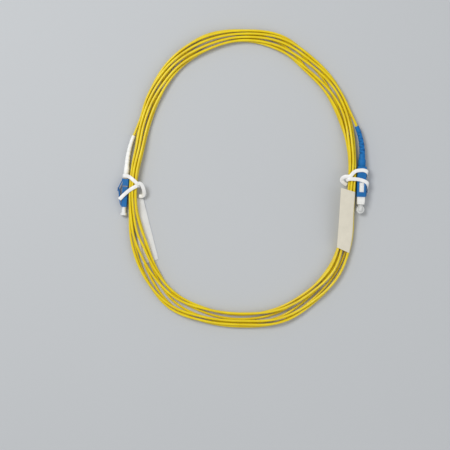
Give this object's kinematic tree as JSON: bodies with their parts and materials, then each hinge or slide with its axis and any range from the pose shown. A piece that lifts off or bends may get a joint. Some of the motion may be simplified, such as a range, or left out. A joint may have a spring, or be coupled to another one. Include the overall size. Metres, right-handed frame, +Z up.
{
  "type": "fiber optic patch cord",
  "caption": "Simplex fiber optic patch cord, LC plug to SC plug, wound in a flat oval loop held by two plastic ties, with dust caps and blank paper flags.",
  "frame": {"origin": "on the table plane, under the middle of the box round the plugs, ties and flags", "axes": "+X from the LC plug to the SC plug across the loop, +Y towards the boots' tails, +Z up from the table"},
  "size_m": [0.2084, 0.2475, 0.0121],
  "materials": {
    "jacket": "smooth PVC jacket, semi-matt",
    "blue_plastic": "moulded PBT, semi-gloss",
    "blue_rubber": "moulded elastomer, matt",
    "white_plastic": "moulded PBT, semi-gloss",
    "white_rubber": "moulded elastomer, matt",
    "zirconia": "ground and polished",
    "steel": "turned",
    "spring_steel": "drawn wire",
    "brass": "turned, nickelled in part",
    "aluminium": "drawn tube",
    "clear_plastic": "translucent polyethylene",
    "fibre_buffer": "tight buffer",
    "aramid": "loose yarn, crimped",
    "tie_plastic": "flat polyethylene strip",
    "paper_warm": "matt paper label",
    "paper_grey": "matt paper label"
  },
  "bodies": {
    "cord": {"cord_coil": "jacket", "sc_plug_frame": "white_plastic", "sc_spring": "spring_steel", "sc_stop_ring": "brass", "sc_crimp_sleeve": "aluminium", "sc_boot": "blue_rubber", "sc_buffered_fibre": "fibre_buffer", "sc_aramid_yarn": "aramid", "sc_jacket_end": "jacket", "lc_front_body": "blue_plastic", "lc_rear_clip": "blue_plastic", "lc_spring": "spring_steel", "lc_backpost": "brass", "lc_crimp_sleeve": "aluminium", "lc_boot": "white_rubber", "lc_buffered_fibre": "fibre_buffer", "lc_aramid_yarn": "aramid", "lc_jacket_end": "jacket", "sc_tie": "tie_plastic", "lc_tie": "tie_plastic", "sc_flag": "paper_warm", "lc_flag": "paper_grey"},
    "sc_sleeve": {"sc_outer_housing": "blue_plastic"},
    "sc_ferrule_unit": {"sc_ferrule": "zirconia", "sc_ferrule_flange": "steel"},
    "sc_cap": {"sc_dust_cap": "clear_plastic"},
    "lc_ferrule_unit": {"lc_ferrule": "zirconia", "lc_ferrule_flange": "steel"},
    "lc_cap": {"lc_dust_cap": "clear_plastic"},
    "lc_latch_arm": {"lc_latch": "blue_plastic"},
    "lc_trigger_arm": {"lc_trigger": "blue_plastic"}
  },
  "joints": [
    {"name": "sc_sleeve_slide", "type": "slide", "parent": "cord", "child": "sc_sleeve", "axis": [0.0349, 0.9994, 0], "range_m": [0, 0.002]},
    {"name": "sc_ferrule_slide", "type": "slide", "parent": "cord", "child": "sc_ferrule_unit", "axis": [0.0349, 0.9994, 0], "range_m": [0, 0.0015], "stiffness_N_per_m": 2500, "deforming": ["sc_spring"]},
    {"name": "sc_cap_slide", "type": "slide", "parent": "cord", "child": "sc_cap", "axis": [-0.0349, -0.9994, 0], "range_m": [0, 0.015]},
    {"name": "lc_ferrule_slide", "type": "slide", "parent": "cord", "child": "lc_ferrule_unit", "axis": [0.0698, 0.9976, 0], "range_m": [0, 0.001], "stiffness_N_per_m": 2000, "deforming": ["lc_spring"]},
    {"name": "lc_cap_slide", "type": "slide", "parent": "cord", "child": "lc_cap", "axis": [-0.0698, -0.9976, 0], "range_m": [0, 0.012]},
    {"name": "lc_latch_hinge", "type": "hinge", "parent": "cord", "child": "lc_latch_arm", "pos_m": [-0.10152, -0.00804, 0.00316], "axis": [0, 0, -1], "range_deg": [0, 8], "stiffness_Nm_per_rad": 0.001},
    {"name": "lc_trigger_hinge", "type": "hinge", "parent": "cord", "child": "lc_trigger_arm", "pos_m": [-0.10016, 0.01281, 0.00316], "axis": [0, 0, 1], "range_deg": [0, 9.6], "stiffness_Nm_per_rad": 0.0005}
  ],
  "couplings": [
    {"joint": "lc_trigger_hinge", "follows": "lc_latch_hinge", "ratio": 1.2}
  ]
}
